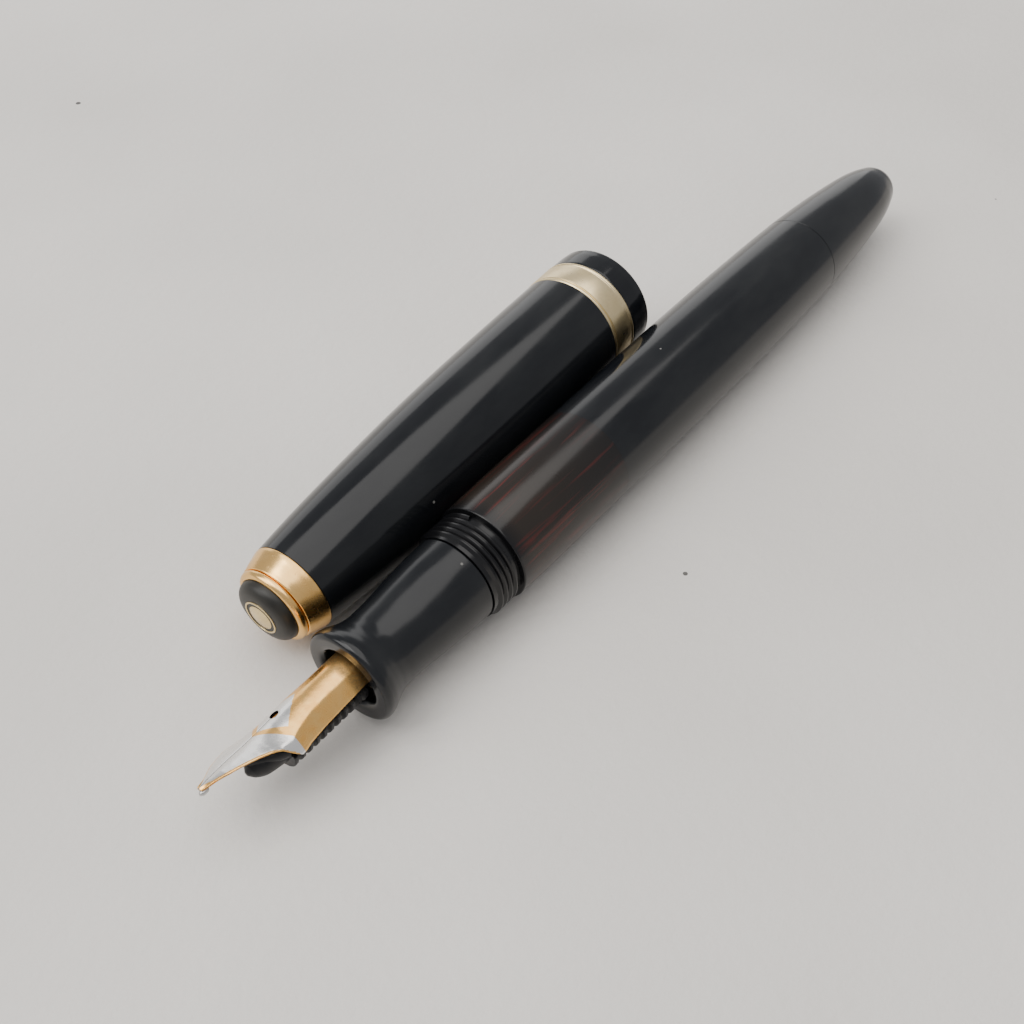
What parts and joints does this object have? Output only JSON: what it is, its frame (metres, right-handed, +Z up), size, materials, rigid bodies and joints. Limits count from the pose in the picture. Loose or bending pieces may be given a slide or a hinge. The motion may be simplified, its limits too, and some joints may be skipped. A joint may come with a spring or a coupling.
{
  "type": "fountain pen",
  "caption": "Black and gold piston-filling fountain pen, lying uncapped beside its screw cap, with a striped ink window, flared grip and wide-shouldered two-tone nib.",
  "frame": {"origin": "on the table under the middle of the pen and cap together (bottom centre of the bounding box)", "axes": "+X along the pen from the nib to the turning knob, +Y from the pen to the cap, +Z up from the table"},
  "size_m": [0.1234, 0.027, 0.0143],
  "materials": {
    "black_resin": "polished",
    "black_rubber": "matt hard rubber",
    "striped_resin": "polished, translucent brown with dark red stripes",
    "nib_gold": "gold with a silver-coloured fore-part",
    "gold_trim": "polished gold plate",
    "tipping": "hard bright alloy",
    "clear_resin": "clear moulded plastic",
    "seal": "soft, lightly greased",
    "brass": "turned",
    "steel": "spring steel"
  },
  "bodies": {
    "pen": {"section": "black_resin", "nib": "nib_gold", "nib_tip": "tipping", "feed": "black_rubber", "nib_collar": "clear_resin", "ink_window": "striped_resin", "barrel": "black_resin", "piston_guide": "clear_resin", "retaining_ring": "steel"},
    "knob": {"turning_knob": "black_resin", "drive_spindle": "brass", "thrust_washer": "brass"},
    "piston": {"piston_rod": "clear_resin", "piston_core": "clear_resin", "piston_seal": "seal", "piston_nut": "clear_resin"},
    "cap": {"cap_shell": "black_resin", "cap_band": "gold_trim", "inner_cap": "black_resin", "crown_ring": "gold_trim", "finial": "black_resin", "finial_bezel": "gold_trim", "emblem_ring": "gold_trim", "emblem_stud": "gold_trim", "crown_screw": "brass", "crown_washer": "brass"}
  },
  "joints": [
    {"name": "knob_turn", "type": "hinge", "parent": "pen", "child": "knob", "pos_m": [0.0483, -0.00741, 0.00604], "axis": [1, 0, 0], "range_deg": [0, 1463]},
    {"name": "piston_travel", "type": "slide", "parent": "pen", "child": "piston", "axis": [-1, 0, 0], "range_m": [0, 0.026]},
    {"name": "cap_slide", "type": "slide", "parent": "pen", "child": "cap", "axis": [-1, 0, 0], "range_m": [0, 0.06]}
  ],
  "couplings": [
    {"joint": "knob_turn", "follows": "piston_travel", "rad_per_m": 981.75}
  ]
}
